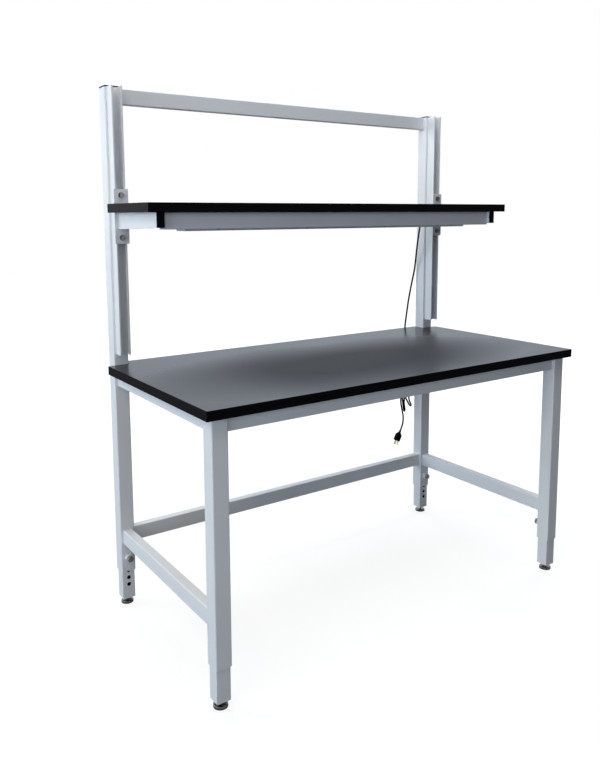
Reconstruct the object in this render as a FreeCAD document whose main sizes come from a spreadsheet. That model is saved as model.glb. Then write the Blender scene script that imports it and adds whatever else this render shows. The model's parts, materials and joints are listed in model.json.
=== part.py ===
import FreeCAD, Part
import math
import os
import re
import Sketcher

# Laboratory bench with an adjustable reagent shelf and an under-shelf light.
# Frame: X runs left to right, Y runs front to back, Z is up.  The origin lies on
# the floor, under the middle of the worktop.  All sizes are in millimetres.

Vector = FreeCAD.Vector
Rotation = FreeCAD.Rotation

SIZES = [
    ("top_length", 1524.0, "worktop, left to right"),
    ("top_depth", 762.0, "worktop, front to back"),
    ("top_thickness", 28.6, "worktop thickness"),
    ("work_height", 863.6, "work surface above the floor"),
    ("band_thickness", 2.0, "plastic edge band on the worktop and the shelf"),
    ("corner_round", 1.5, "rounding of the boards' free upright corners"),
    ("notch_gap", 1.5, "gap between the worktop's notches and the uprights"),
    ("leg_width", 50.8, "square outer leg and upright"),
    ("leg_wall", 2.7, "wall of the outer leg"),
    ("leg_round", 4.0, "outer corner radius of the outer leg"),
    ("leg_side_inset", 22.875, "worktop's side edge to the leg's outer face"),
    ("leg_front_inset", 18.7, "worktop's front edge to the front leg"),
    ("inner_leg_width", 44.45, "square telescopic inner leg"),
    ("inner_leg_wall", 2.7, "wall of the inner leg"),
    ("inner_leg_round", 3.5, "outer corner radius of the inner leg"),
    ("inner_leg_length", 304.8, "length of the inner leg"),
    ("foot_height", 22.7, "inner leg's lower end above the floor"),
    ("pin_hole_diameter", 14.0, "height holes in the inner leg"),
    ("pin_hole_pitch", 25.4, "spacing of the height holes"),
    ("pin_hole_first", 50.8, "lowest height hole above the inner leg's lower end"),
    ("pin_hole_count", 7, "height holes in each inner leg"),
    ("pin_hole_used", 5, "height hole that the height bolt faces, counted from below"),
    ("lock_edge", 50.8, "height bolt above the outer leg's lower end"),
    ("lock_nut_flats", 23.8, "height bolt's weld nut across its flats"),
    ("lock_nut_height", 12.5, "height bolt's weld nut"),
    ("lock_bolt_diameter", 12.7, "height bolt's shank"),
    ("lock_head_flats", 19.0, "height bolt's head across its flats"),
    ("lock_head_height", 8.0, "height bolt's head"),
    ("lock_thread_shown", 2.5, "bare thread between the weld nut and the head"),
    ("thread_gap", 0.1, "gap between a thread and its hole, on the radius"),
    ("slide_gap", 0.3, "gap between pieces that slide past each other"),
    ("insert_thickness", 6.0, "threaded plate in the inner leg's lower end"),
    ("jam_nut_flats", 17.0, "glide's jam nut across its flats"),
    ("jam_nut_height", 5.5, "glide's jam nut"),
    ("glide_diameter", 42.5, "glide's pad"),
    ("glide_height", 9.5, "glide's pad"),
    ("glide_round", 3.0, "rounding of the glide's pad"),
    ("glide_stem_diameter", 9.5, "glide's threaded stem"),
    ("glide_stem_length", 52.0, "glide's stem above its pad"),
    ("rail_width", 31.75, "top rails and stretchers, thickness"),
    ("rail_wall", 2.0, "wall of the rails and stretchers"),
    ("rail_round", 3.0, "outer corner radius of the rails"),
    ("top_rail_height", 44.45, "rails under the worktop"),
    ("stretcher_height", 50.8, "lower stretchers"),
    ("stretcher_level", 226.5, "lower stretchers' underside above the floor"),
    ("upright_rise", 914.4, "uprights' top above the work surface"),
    ("cap_thickness", 4.5, "plastic cap on each upright"),
    ("cap_plug_depth", 14.0, "part of the cap inside the upright"),
    ("cap_gap", 0.15, "gap between a plastic plug and its tube"),
    ("channel_width", 36.5, "slotted channel on the front of each upright"),
    ("channel_depth", 41.3, "channel, front to back"),
    ("channel_wall", 2.7, "channel wall"),
    ("channel_lip", 5.0, "channel's front lip, with its wall"),
    ("channel_rise", 38.1, "channel's lower end above the work surface"),
    ("crossbar_depth", 25.4, "crossbar between the uprights, front to back"),
    ("crossbar_height", 50.8, "crossbar, height"),
    ("crossbar_setback", 17.0, "crossbar's front behind the uprights' front"),
    ("tab_width", 38.0, "worktop fixing tab along its rail"),
    ("tab_depth", 30.0, "worktop fixing tab away from its rail"),
    ("tab_thickness", 3.0, "worktop fixing tab"),
    ("tab_side_offset", 190.0, "tabs on the side rails from the middle"),
    ("tab_front_offset", 450.0, "tabs on the front and rear rails from the middle"),
    ("screw_diameter", 5.0, "wood screw's shank"),
    ("screw_bite", 16.0, "wood screw's depth in a board"),
    ("screw_head_diameter", 10.0, "wood screw's head"),
    ("screw_head_height", 3.5, "wood screw's head"),
    ("shelf_length", 1524.0, "shelf board, left to right"),
    ("shelf_depth", 328.0, "shelf board, front to back"),
    ("shelf_thickness", 28.6, "shelf board thickness"),
    ("shelf_rise", 510.4, "shelf's underside above the work surface"),
    ("shelf_rear_gap", 1.2, "gap between the shelf's rear edge and the plates"),
    ("plate_width", 48.0, "bracket plate"),
    ("plate_height", 177.8, "bracket plate"),
    ("plate_thickness", 6.35, "bracket plate"),
    ("plate_drop", 100.8, "bracket plate's lower end below the shelf's underside"),
    ("plate_round", 3.0, "bracket plate's corner radius"),
    ("plate_bolt_edge", 20.0, "bracket bolts from the plate's ends"),
    ("plate_bolt_diameter", 9.5, "bracket bolt's shank"),
    ("plate_head_flats", 14.3, "bracket bolt's head across its flats"),
    ("plate_head_height", 6.0, "bracket bolt's head"),
    ("plate_washer_diameter", 20.0, "bracket bolt's washer"),
    ("plate_washer_thickness", 1.6, "bracket bolt's washer"),
    ("channel_nut_width", 29.5, "clamping nut across the channel"),
    ("channel_nut_height", 34.0, "clamping nut along the channel"),
    ("channel_nut_thickness", 9.0, "clamping nut"),
    ("arm_width", 25.4, "shelf arm"),
    ("arm_wall", 2.0, "shelf arm's wall"),
    ("arm_front_height", 45.0, "shelf arm at its front end"),
    ("arm_rear_height", 53.0, "shelf arm at its bracket plate"),
    ("arm_setback", 24.0, "shelf's front edge to the arm's cap"),
    ("arm_cap_thickness", 3.0, "plastic cap on the arm's front end"),
    ("arm_cap_plug_depth", 12.0, "part of the cap inside the arm"),
    ("shelf_rail_depth", 25.4, "rail between the arms, front to back"),
    ("shelf_rail_height", 50.8, "rail between the arms"),
    ("shelf_rail_setback", 13.7, "rail's front behind the arms' front"),
    ("shelf_screw_offset", 340.0, "screws in the shelf's rail from each other"),
    ("light_end_gap", 91.425, "gap between the light's ends and the shelf's arms"),
    ("light_width", 64.0, "light housing, front to back"),
    ("light_wall", 1.2, "light housing's sheet"),
    ("light_housing_height", 42.0, "light housing"),
    ("light_gap", 14.6, "gap between the shelf's rail and the light"),
    ("light_cap_thickness", 3.0, "light's end caps"),
    ("light_screw_offset", 400.0, "light's screws from the middle"),
    ("light_screw_bite", 12.0, "light's screws in the shelf board"),
    ("diffuser_drop", 15.5, "diffuser below the housing"),
    ("diffuser_overlap", 6.0, "diffuser inside the housing"),
    ("diffuser_wall", 2.0, "diffuser's wall"),
    ("diffuser_gap", 0.2, "gap between the diffuser and the housing"),
    ("diffuser_round", 6.0, "diffuser's lower edges"),
    ("led_board_width", 24.0, "board with the light sources"),
    ("led_board_thickness", 1.6, "board with the light sources"),
    ("led_board_margin", 30.0, "board's ends from the light's end caps"),
    ("screw_clearance", 1.0, "light's board and driver from the screws' heads"),
    ("driver_length", 180.0, "driver in the housing"),
    ("driver_width", 22.0, "driver, front to back"),
    ("driver_height", 20.0, "driver"),
    ("relief_inset", 34.6, "strain relief from the light's right end"),
    ("relief_drop", 26.0, "strain relief's axis below the shelf"),
    ("relief_length", 30.0, "strain relief behind the housing"),
    ("relief_diameter", 13.0, "strain relief at the housing"),
    ("relief_tip_wall", 1.0, "strain relief around the cord at its tip"),
    ("relief_flange", 18.0, "strain relief's flange"),
    ("relief_flange_thickness", 2.0, "strain relief's flange"),
    ("cord_diameter", 7.5, "mains cord"),
    ("clip_length", 10.0, "cord clip along the cord"),
    ("clip_width", 16.0, "cord clip across the cord"),
    ("clip_wall", 2.4, "cord clip below the cord"),
    ("clip_gap", 0.4, "gap between the cord and its clip, on the radius"),
    ("hank_thickness", 26.0, "folded cord, front to back"),
    ("tie_height", 12.0, "tie around the folded cord"),
    ("tie_thickness", 1.6, "tie around the folded cord"),
    ("plug_width", 27.0, "plug's body"),
    ("plug_depth", 20.0, "plug's body"),
    ("plug_round", 4.0, "plug's upright edges"),
    ("plug_length", 28.0, "plug's body, straight part"),
    ("plug_shoulder", 11.0, "plug's tapered shoulder"),
    ("plug_shoulder_top", 12.0, "plug's shoulder where it meets the neck"),
    ("plug_neck_length", 9.0, "plug's neck"),
    ("plug_neck_diameter", 10.0, "plug's neck"),
    ("blade_length", 17.5, "plug's flat blades"),
    ("blade_width", 6.3, "plug's flat blades"),
    ("blade_thickness", 1.5, "plug's flat blades"),
    ("blade_spacing", 12.7, "plug's flat blades from each other"),
    ("ground_pin_diameter", 4.8, "plug's ground pin"),
    ("ground_pin_length", 20.0, "plug's ground pin"),
    ("ground_pin_offset", 11.9, "ground pin from the blades' line"),
    ("blade_offset", 5.2, "blades' line from the plug's middle"),
]

doc = FreeCAD.newDocument("lab_bench")
sheet = doc.addObject("Spreadsheet::Sheet", "sizes")
for row, (alias, number, meaning) in enumerate(SIZES, start=1):
    sheet.set("A%d" % row, alias)
    sheet.set("B%d" % row, str(number))
    sheet.set("C%d" % row, meaning)
    sheet.setAlias("B%d" % row, alias)
doc.recompute()

subparts = []


# ---------------------------------------------------------------- helpers

def sized(expression):
    """Point each size name in an expression at the spreadsheet."""
    return re.sub(r"\b[a-z]+(?:_[a-z]+)+\b", lambda name: "sizes." + name.group(), expression)


def value(expression):
    """The present number of an expression in size names."""
    return float(sheet.evalExpression(sized(expression)))


def keep(piece, label):
    """Name a finished sub-part and list it for export."""
    piece.Label = label
    subparts.append(piece)
    return piece


def place(piece, x="0", y="0", z="0", rotation=None):
    """Put a piece at a position that follows the sizes."""
    piece.Placement = FreeCAD.Placement(Vector(), rotation or Rotation())
    for axis, expression in zip("xyz", (x, y, z)):
        piece.setExpression("Placement.Base." + axis, sized(expression))
    return piece


def new_body(label):
    return keep(doc.addObject("PartDesign::Body", label), label)


def sketch_on(body, plane, level="0"):
    """An empty sketch on one of the body's own origin planes."""
    sketch = body.newObject("Sketcher::SketchObject", body.Name + "_sketch")
    origin_plane = [item for item in body.Origin.OriginFeatures if item.Role == plane][0]
    sketch.AttachmentSupport = [(origin_plane, "")]
    sketch.MapMode = "FlatFace"
    sketch.setExpression("AttachmentOffset.Base.z", sized(level))
    return sketch


def bind(sketch, constraint, expression):
    """Add a dimension that follows the sizes."""
    index = sketch.addConstraint(constraint)
    sketch.setExpression("Constraints[%d]" % index, sized(expression))


def locate(sketch, element, point, x, y):
    """Hold a point of the sketch at x, y from the sketch's origin."""
    bind(sketch, Sketcher.Constraint("DistanceX", -1, 1, element, point, value(x)), x)
    bind(sketch, Sketcher.Constraint("DistanceY", -1, 1, element, point, value(y)), y)


def outline(sketch, corners):
    """A closed outline of straight lines through corners given as expressions."""
    spots = [Vector(value(x), value(y), 0) for x, y in corners]
    first = sketch.GeometryCount
    count = len(spots)
    for number, spot in enumerate(spots):
        sketch.addGeometry(Part.LineSegment(spot, spots[(number + 1) % count]), False)
    for number, (x, y) in enumerate(corners):
        following = (number + 1) % count
        sketch.addConstraint(Sketcher.Constraint("Coincident", first + number, 2, first + following, 1))
        locate(sketch, first + number, 1, x, y)


def rectangle(sketch, width, height, x="0", y="0"):
    """A rectangle with its middle at x, y."""
    outline(sketch, [("%s - (%s) / 2" % (x, width), "%s - (%s) / 2" % (y, height)),
                     ("%s + (%s) / 2" % (x, width), "%s - (%s) / 2" % (y, height)),
                     ("%s + (%s) / 2" % (x, width), "%s + (%s) / 2" % (y, height)),
                     ("%s - (%s) / 2" % (x, width), "%s + (%s) / 2" % (y, height))])


def rounded_rectangle(sketch, width, height, radius):
    """A rectangle about the sketch's origin with four rounded corners."""
    half_w, half_h, r = value(width) / 2, value(height) / 2, value(radius)
    first = sketch.GeometryCount
    signs = [(1, 1), (-1, 1), (-1, -1), (1, -1)]
    for number, (sx, sy) in enumerate(signs):
        centre = Vector(sx * (half_w - r), sy * (half_h - r), 0)
        start = math.pi / 2 * number
        circle = Part.Circle(centre, Vector(0, 0, 1), r)
        sketch.addGeometry(Part.ArcOfCircle(circle, start, start + math.pi / 2), False)
    for number in range(4):
        here = sketch.getPoint(first + number, 2)
        there = sketch.getPoint(first + (number + 1) % 4, 1)
        sketch.addGeometry(Part.LineSegment(here, there), False)
    for number, (sx, sy) in enumerate(signs):
        arc, line, following = first + number, first + 4 + number, first + (number + 1) % 4
        sketch.addConstraint(Sketcher.Constraint("Tangent", arc, 2, line, 1))
        sketch.addConstraint(Sketcher.Constraint("Tangent", line, 2, following, 1))
        locate(sketch, arc, 3, "%d * ((%s) / 2 - (%s))" % (sx, width, radius),
               "%d * ((%s) / 2 - (%s))" % (sy, height, radius))
        bind(sketch, Sketcher.Constraint("Radius", arc, r), radius)


def circle(sketch, diameter, x="0", y="0"):
    """A circle with its centre at x, y."""
    shape = Part.Circle(Vector(value(x), value(y), 0), Vector(0, 0, 1), value(diameter) / 2)
    element = sketch.addGeometry(shape, False)
    locate(sketch, element, 3, x, y)
    bind(sketch, Sketcher.Constraint("Diameter", element, value(diameter)), diameter)


def pad(body, sketch, length, both_ways=False):
    """Raise a sketch into material."""
    feature = body.newObject("PartDesign::Pad", body.Name + "_pad")
    feature.Profile = sketch
    feature.setExpression("Length", sized(length))
    feature.SideType = "Symmetric" if both_ways else "One side"
    doc.recompute()
    return feature


def pocket(body, sketch, depth, away=False, both_ways=False):
    """Cut a sketch out of the body and make sure that it removes material."""
    before = body.Shape.Volume
    feature = body.newObject("PartDesign::Pocket", body.Name + "_pocket")
    feature.Profile = sketch
    feature.setExpression("Length", sized(depth))
    feature.Reversed = away
    feature.SideType = "Symmetric" if both_ways else "One side"
    doc.recompute()
    if body.Shape.Volume >= before:
        raise RuntimeError("a pocket in %s cuts nothing" % body.Label)
    return feature


def soften(body, radius, wanted):
    """Round the body's edges that the test picks out."""
    names = ["Edge%d" % (number + 1) for number, edge in enumerate(body.Shape.Edges) if wanted(edge)]
    tip = body.Tip
    feature = body.newObject("PartDesign::Fillet", body.Name + "_round")
    feature.Base = (tip, names)
    feature.setExpression("Radius", sized(radius))
    doc.recompute()
    return feature


def upright_edge(edge):
    return len(edge.Vertexes) == 2 and abs(edge.tangentAt(edge.FirstParameter).z) > 0.99


def tube(label, plane, width, height, radius, wall, length, both_ways=True):
    """A straight rectangular tube with rounded corners."""
    body = new_body(label)
    sketch = sketch_on(body, plane)
    rounded_rectangle(sketch, width, height, radius)
    rounded_rectangle(sketch, "%s - 2 * %s" % (width, wall), "%s - 2 * %s" % (height, wall),
                      "%s - %s" % (radius, wall))
    pad(body, sketch, length, both_ways)
    return body


def block(length, width, height, x, y, z, rotation=None):
    """A box whose middle of its lower face is at x, y, z before it is turned."""
    box = doc.addObject("Part::Box", "block")
    for name, expression in (("Length", length), ("Width", width), ("Height", height)):
        box.setExpression(name, sized(expression))
    if rotation is None:
        return place(box, "%s - (%s) / 2" % (x, length), "%s - (%s) / 2" % (y, width), z)
    return place(box, x, y, z, rotation)


def rod(diameter, height, x, y, z, rotation=None):
    """A cylinder with the centre of its lower end at x, y, z."""
    cylinder = doc.addObject("Part::Cylinder", "rod")
    cylinder.setExpression("Radius", sized("(%s) / 2" % diameter))
    cylinder.setExpression("Height", sized(height))
    return place(cylinder, x, y, z, rotation)


def hexagon(flats, height, x, y, z, rotation=None):
    """A hexagonal prism with the centre of its lower end at x, y, z."""
    prism = doc.addObject("Part::Prism", "hexagon")
    prism.Polygon = 6
    prism.setExpression("Circumradius", sized("(%s) / 2 / cos(30)" % flats))
    prism.setExpression("Height", sized(height))
    return place(prism, x, y, z, rotation)


def joined(*pieces):
    fusion = doc.addObject("Part::MultiFuse", "joined")
    fusion.Shapes = list(pieces)
    return fusion


def cut(base, tool):
    result = doc.addObject("Part::Cut", "cut")
    result.Base = base
    result.Tool = tool
    return result


def group(label, pieces):
    """Several separate solids in one sub-part."""
    compound = doc.addObject("Part::Compound", label)
    compound.Links = pieces
    return keep(compound, label)


SIDES = (("left", -1), ("right", 1))
FORWARD = Rotation(Vector(1, 0, 0), 90)        # turns +Z to -Y
BACKWARD = Rotation(Vector(1, 0, 0), -90)      # turns +Z to +Y

# ------------------------------------------------- places shared by the pieces

LEG_X = "(top_length / 2 - leg_side_inset - leg_width / 2)"
FRONT_LEG_Y = "(leg_front_inset + leg_width / 2 - top_depth / 2)"
REAR_LEG_Y = "(top_depth / 2 - leg_width / 2)"
UNDER_TOP = "(work_height - top_thickness)"
LOCK_Z = "(foot_height + pin_hole_first + (pin_hole_used - 1) * pin_hole_pitch)"
LEG_END_Z = "(" + LOCK_Z + " - lock_edge)"
UPRIGHT_TOP = "(work_height + upright_rise)"
UPRIGHT_FRONT_Y = "(top_depth / 2 - leg_width)"
CHANNEL_FRONT_Y = "(" + UPRIGHT_FRONT_Y + " - channel_depth)"
PLATE_FRONT_Y = "(" + CHANNEL_FRONT_Y + " - slide_gap - plate_thickness)"
SHELF_REAR_Y = "(" + PLATE_FRONT_Y + " - shelf_rear_gap)"
SHELF_FRONT_Y = "(" + SHELF_REAR_Y + " - shelf_depth)"
SHELF_Z = "(work_height + shelf_rise)"
ARM_FRONT_Y = "(" + SHELF_FRONT_Y + " + arm_setback)"
SHELF_RAIL_Y = "(" + ARM_FRONT_Y + " + shelf_rail_setback + shelf_rail_depth / 2)"
LIGHT_Y = "(" + SHELF_RAIL_Y + " + shelf_rail_depth / 2 + light_gap + light_width / 2)"
LIGHT_BACK_Y = "(" + LIGHT_Y + " + light_width / 2)"

# Each corner: name, side, leg centre in Y, and the way its height holes face.
CORNERS = [
    ("front_left", -1, FRONT_LEG_Y, 1),
    ("front_right", 1, FRONT_LEG_Y, 1),
    ("rear_left", -1, REAR_LEG_Y, -1),
    ("rear_right", 1, REAR_LEG_Y, -1),
]

# ------------------------------------------------------------- worktop

def notched_corners(inset):
    """The worktop's outline, drawn in by an inset, with a notch for each upright."""
    side = "(top_length / 2 - %s)" % inset
    front = "(top_depth / 2 - %s)" % inset
    notch_x = "(%s - leg_width / 2 - notch_gap - %s)" % (LEG_X, inset)
    notch_y = "(%s - notch_gap - %s)" % (UPRIGHT_FRONT_Y, inset)
    return [("-" + side, "-" + front), (side, "-" + front), (side, notch_y), (notch_x, notch_y),
            (notch_x, front), ("-" + notch_x, front), ("-" + notch_x, notch_y), ("-" + side, notch_y)]


def rectangle_corners(inset):
    """The shelf's outline about its own middle, drawn in by an inset."""
    side = "(shelf_length / 2 - %s)" % inset
    front = "(shelf_depth / 2 - %s)" % inset
    return [("-" + side, "-" + front), (side, "-" + front), (side, front), ("-" + side, front)]


# Each tab: its middle in X and Y, and whether its rail is at a side or runs across.
TAB_SPOTS = []
TAB_INNER_X = "(" + LEG_X + " - rail_width / 2 - tab_depth / 2)"
for side in (-1, 1):
    for step in (-1, 1):
        TAB_SPOTS.append(("%d * %s" % (side, TAB_INNER_X), "%d * tab_side_offset" % step, "side"))
for step in (-1, 1):
    front_y = "(" + FRONT_LEG_Y + " + rail_width / 2 + tab_depth / 2)"
    rear_y = "(" + REAR_LEG_Y + " - rail_width / 2 - tab_depth / 2)"
    TAB_SPOTS.append(("%d * tab_front_offset" % step, front_y, "cross"))
    TAB_SPOTS.append(("%d * tab_front_offset" % step, rear_y, "cross"))


def board_and_band(name, corners, thickness, holes, round_corner):
    """A board and the plastic band on its edge, with pilot holes from below."""
    board = new_body(name + "_board")
    shape = sketch_on(board, "XY_Plane")
    outline(shape, corners("band_thickness"))
    pad(board, shape, thickness)
    for depth, spots in holes:
        pilots = sketch_on(board, "XY_Plane")
        for x, y in spots:
            circle(pilots, "screw_diameter + 2 * thread_gap", x, y)
        pocket(board, pilots, depth, away=True)
    band = new_body(name + "_edge_band")
    ring = sketch_on(band, "XY_Plane")
    outline(ring, corners("0"))
    outline(ring, corners("band_thickness"))
    pad(band, ring, thickness)
    soften(band, "corner_round", lambda edge: upright_edge(edge) and round_corner(edge))
    return board, band


def outer_corner(edge, half_length, half_depth):
    """Whether an upright edge stands at a free corner of a board."""
    spot = edge.CenterOfMass
    at_side = abs(abs(spot.x) - half_length) < 0.01
    return at_side and spot.y < -half_depth + 0.01


top_board, top_band = board_and_band(
    "worktop", notched_corners, "top_thickness", [("screw_bite", [spot[:2] for spot in TAB_SPOTS])],
    lambda edge: outer_corner(edge, value("top_length / 2"), value("top_depth / 2")))
for piece in (top_board, top_band):
    place(piece, z=UNDER_TOP)

tabs = []
for x, y, direction in TAB_SPOTS:
    along_x, along_y = ("tab_depth", "tab_width") if direction == "side" else ("tab_width", "tab_depth")
    plate = block(along_x, along_y, "tab_thickness", x, y, UNDER_TOP + " - tab_thickness")
    hole = rod("screw_diameter + 2 * slide_gap", "3 * tab_thickness", x, y,
               UNDER_TOP + " - 2 * tab_thickness")
    tabs.append(cut(plate, hole))
group("top_tabs", tabs)


def wood_screw(bite, grip, x, y, z):
    """A pan-head screw that points up, with its head's upper side at height z."""
    head = rod("screw_head_diameter", "screw_head_height", x, y, "%s - screw_head_height" % z)
    shank = rod("screw_diameter", "%s + %s + screw_head_height / 2 - thread_gap" % (bite, grip),
                x, y, "%s - screw_head_height / 2" % z)
    return joined(head, shank)


group("top_screws", [
    wood_screw("screw_bite", "tab_thickness", spot[0], spot[1], UNDER_TOP + " - tab_thickness")
    for spot in TAB_SPOTS])

# ------------------------------------------------------- legs and uprights

def bolt_hole(body, diameter, level, facing):
    """A round hole through the tube's wall that faces front (-1) or back (1)."""
    sketch = sketch_on(body, "XZ_Plane")
    circle(sketch, diameter, "0", level)
    return pocket(body, sketch, "leg_width", away=facing < 0), sketch


for corner, side, leg_y, facing in CORNERS:
    rear = corner.startswith("rear")
    label = corner.replace("rear", "rear_upright") if rear else corner.replace("front", "front_leg")
    top = UPRIGHT_TOP if rear else UNDER_TOP
    leg = tube(label, "XY_Plane", "leg_width", "leg_width", "leg_round", "leg_wall",
               "%s - %s" % (top, LEG_END_Z), both_ways=False)
    bolt_hole(leg, "lock_bolt_diameter + 2 * thread_gap", "lock_edge", facing)
    place(leg, "%d * %s" % (side, LEG_X), leg_y, LEG_END_Z)

nuts = []
bolts = []
for corner, side, leg_y, facing in CORNERS:
    turn = BACKWARD if facing > 0 else FORWARD
    x = "%d * %s" % (side, LEG_X)
    face = "(%s + %d * leg_width / 2)" % (leg_y, facing)
    nut_hole = rod("lock_bolt_diameter + 2 * thread_gap", "lock_nut_height", x, face, LOCK_Z, turn)
    nuts.append(cut(hexagon("lock_nut_flats", "lock_nut_height", x, face, LOCK_Z, turn), nut_hole))
    head_y = "(%s + %d * (lock_nut_height + lock_thread_shown))" % (face, facing)
    tip_y = "(%s + %d * (inner_leg_width / 2 + slide_gap))" % (leg_y, facing)
    shank_length = ("(leg_width - inner_leg_width) / 2 - slide_gap + lock_nut_height"
                    " + lock_thread_shown + lock_head_height / 2")
    bolts.append(joined(hexagon("lock_head_flats", "lock_head_height", x, head_y, LOCK_Z, turn),
                        rod("lock_bolt_diameter", shank_length, x, tip_y, LOCK_Z, turn)))
group("height_nuts", nuts)
group("height_bolts", bolts)

for corner, side, leg_y, facing in CORNERS:
    x = "%d * %s" % (side, LEG_X)
    inner = tube("inner_leg_" + corner, "XY_Plane", "inner_leg_width", "inner_leg_width",
                 "inner_leg_round", "inner_leg_wall", "inner_leg_length", both_ways=False)
    hole, sketch = bolt_hole(inner, "pin_hole_diameter", "pin_hole_first", facing)
    one_hole = inner.Shape.Volume
    row = inner.newObject("PartDesign::LinearPattern", inner.Name + "_row")
    row.Originals = [hole]
    row.Direction = (sketch, ["V_Axis"])
    row.setExpression("Length", sized("(pin_hole_count - 1) * pin_hole_pitch"))
    row.setExpression("Occurrences", sized("pin_hole_count"))
    inner.Tip = row
    doc.recompute()
    if inner.Shape.Volume >= one_hole:
        raise RuntimeError("the height holes of %s are missing" % inner.Label)
    place(inner, x, leg_y, "foot_height")

    insert_width = "inner_leg_width - 2 * inner_leg_wall"
    plate = block(insert_width, insert_width, "insert_thickness", x, leg_y, "foot_height")
    rounded = doc.addObject("Part::Fillet", "rounded")
    rounded.Base = plate
    insert_round = value("inner_leg_round - inner_leg_wall")
    doc.recompute()
    rounded.Edges = [(number + 1, insert_round, insert_round)
                     for number, edge in enumerate(plate.Shape.Edges) if upright_edge(edge)]
    bore = "glide_stem_diameter + 2 * thread_gap"
    plate_bore = rod(bore, "insert_thickness", x, leg_y, "foot_height")
    nut = hexagon("jam_nut_flats", "jam_nut_height", x, leg_y, "foot_height - jam_nut_height")
    nut_bore = rod(bore, "jam_nut_height", x, leg_y, "foot_height - jam_nut_height")
    group("foot_insert_" + corner, [cut(rounded, plate_bore), cut(nut, nut_bore)])

    glide = new_body("glide_" + corner)
    disc = sketch_on(glide, "XY_Plane")
    circle(disc, "glide_diameter")
    pad(glide, disc, "glide_height")
    soften(glide, "glide_round", lambda edge: edge.CenterOfMass.z > value("glide_height") - 0.01)
    stem = sketch_on(glide, "XY_Plane", "glide_height")
    circle(stem, "glide_stem_diameter")
    pad(glide, stem, "glide_stem_length")
    place(glide, x, leg_y, "0")

# -------------------------------------------------------- rails and stretchers

BETWEEN_X = "2 * " + LEG_X + " - leg_width"
BETWEEN_Y = "(" + REAR_LEG_Y + " - " + FRONT_LEG_Y + " - leg_width)"
MIDDLE_Y = "((" + REAR_LEG_Y + " + " + FRONT_LEG_Y + ") / 2)"
TOP_RAIL_Z = "(" + UNDER_TOP + " - top_rail_height / 2)"
STRETCHER_Z = "(stretcher_level + stretcher_height / 2)"

for label, plane, height, length, y, z in (
        ("front_apron", "YZ_Plane", "top_rail_height", BETWEEN_X, FRONT_LEG_Y, TOP_RAIL_Z),
        ("rear_top_rail", "YZ_Plane", "top_rail_height", BETWEEN_X, REAR_LEG_Y, TOP_RAIL_Z),
        ("back_stretcher", "YZ_Plane", "stretcher_height", BETWEEN_X, REAR_LEG_Y, STRETCHER_Z)):
    rail = tube(label, plane, "rail_width", height, "rail_round", "rail_wall", length)
    place(rail, "0", y, z)

for name, side in SIDES:
    for label, height, z in (("side_top_rail_", "top_rail_height", TOP_RAIL_Z),
                             ("side_stretcher_", "stretcher_height", STRETCHER_Z)):
        rail = tube(label + name, "XZ_Plane", "rail_width", height, "rail_round", "rail_wall", BETWEEN_Y)
        place(rail, "%d * %s" % (side, LEG_X), MIDDLE_Y, z)

# ---------------------------------------------- upper frame: caps, channels, bar

def cap_of_upright(side):
    """A plastic cap with a plug inside the upright's open top."""
    x = "%d * %s" % (side, LEG_X)
    plug_width = "leg_width - 2 * leg_wall - 2 * cap_gap"
    lid = block("leg_width", "leg_width", "cap_thickness", x, REAR_LEG_Y, UPRIGHT_TOP)
    plug = block(plug_width, plug_width, "cap_plug_depth + cap_thickness / 2", x, REAR_LEG_Y,
                 UPRIGHT_TOP + " - cap_plug_depth")
    whole = joined(lid, plug)
    rounded = doc.addObject("Part::Fillet", "cap")
    rounded.Base = whole
    doc.recompute()
    top = value(UPRIGHT_TOP)
    picked = []
    for number, edge in enumerate(whole.Shape.Edges):
        middle = edge.CenterOfMass
        if upright_edge(edge) and middle.z > top:
            picked.append((number + 1, value("leg_round"), value("leg_round")))
        elif upright_edge(edge):
            picked.append((number + 1, value("leg_round - leg_wall"), value("leg_round - leg_wall")))
    rounded.Edges = picked
    return rounded


group("post_caps", [cap_of_upright(-1), cap_of_upright(1)])

for name, side in SIDES:
    channel = new_body("channel_" + name)
    section = sketch_on(channel, "XY_Plane")
    half = "channel_width / 2"
    inner_half = "(channel_width / 2 - channel_wall)"
    slot_half = "(channel_width / 2 - channel_lip)"
    outline(section, [
        ("-" + half, "0"), (half, "0"), (half, "-channel_depth"), (slot_half, "-channel_depth"),
        (slot_half, "channel_wall - channel_depth"), (inner_half, "channel_wall - channel_depth"),
        (inner_half, "-channel_wall"), ("-" + inner_half, "-channel_wall"),
        ("-" + inner_half, "channel_wall - channel_depth"),
        ("-" + slot_half, "channel_wall - channel_depth"), ("-" + slot_half, "-channel_depth"),
        ("-" + half, "-channel_depth")])
    pad(channel, section, "upright_rise - channel_rise")
    place(channel, "%d * %s" % (side, LEG_X), UPRIGHT_FRONT_Y, "work_height + channel_rise")

crossbar = tube("crossbar", "YZ_Plane", "crossbar_depth", "crossbar_height", "rail_round", "rail_wall",
                BETWEEN_X)
place(crossbar, "0", UPRIGHT_FRONT_Y + " + crossbar_setback + crossbar_depth / 2",
      UPRIGHT_TOP + " - crossbar_height / 2")

# ------------------------------------------------------------------ shelf

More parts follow.
